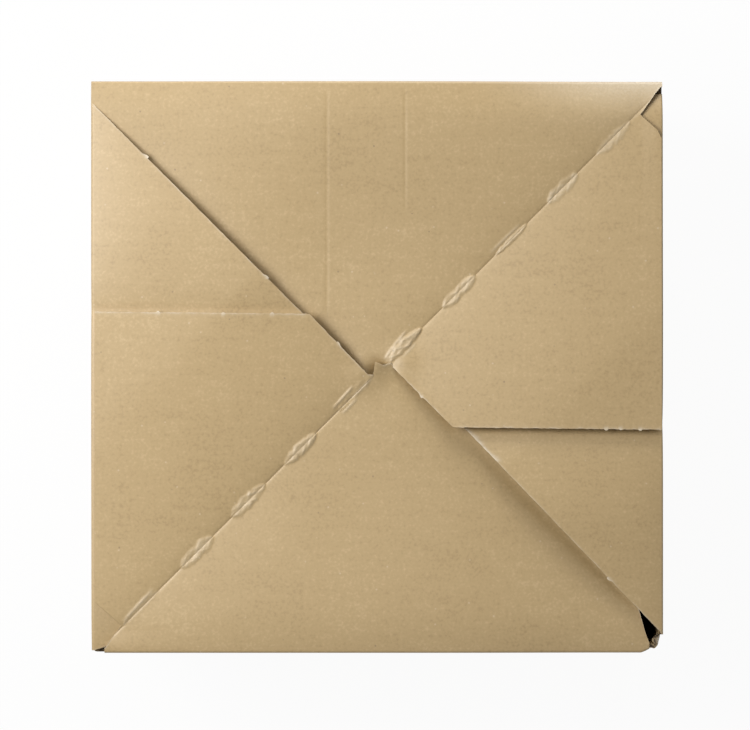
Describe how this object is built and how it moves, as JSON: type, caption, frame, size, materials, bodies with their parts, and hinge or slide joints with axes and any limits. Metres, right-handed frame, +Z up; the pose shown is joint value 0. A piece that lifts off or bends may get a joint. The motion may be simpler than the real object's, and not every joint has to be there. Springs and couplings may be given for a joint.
{
  "type": "auto-lock bottom cardboard box",
  "caption": "Square kraft corrugated box set up and standing base up on its open rim, with an interlocked auto-lock base, perforated diagonal creases and one crushed corner",
  "frame": {"origin": "middle of the open rim's plane, on which the box stands base up", "axes": "+Z up from the rim to the base, +X and +Y along the walls, with +Y towards the top of the picture"},
  "size_m": [0.22, 0.22, 0.1421],
  "materials": {
    "board": "matte, plain kraft"
  },
  "bodies": {
    "root": {"box": "board"}
  },
  "joints": []
}
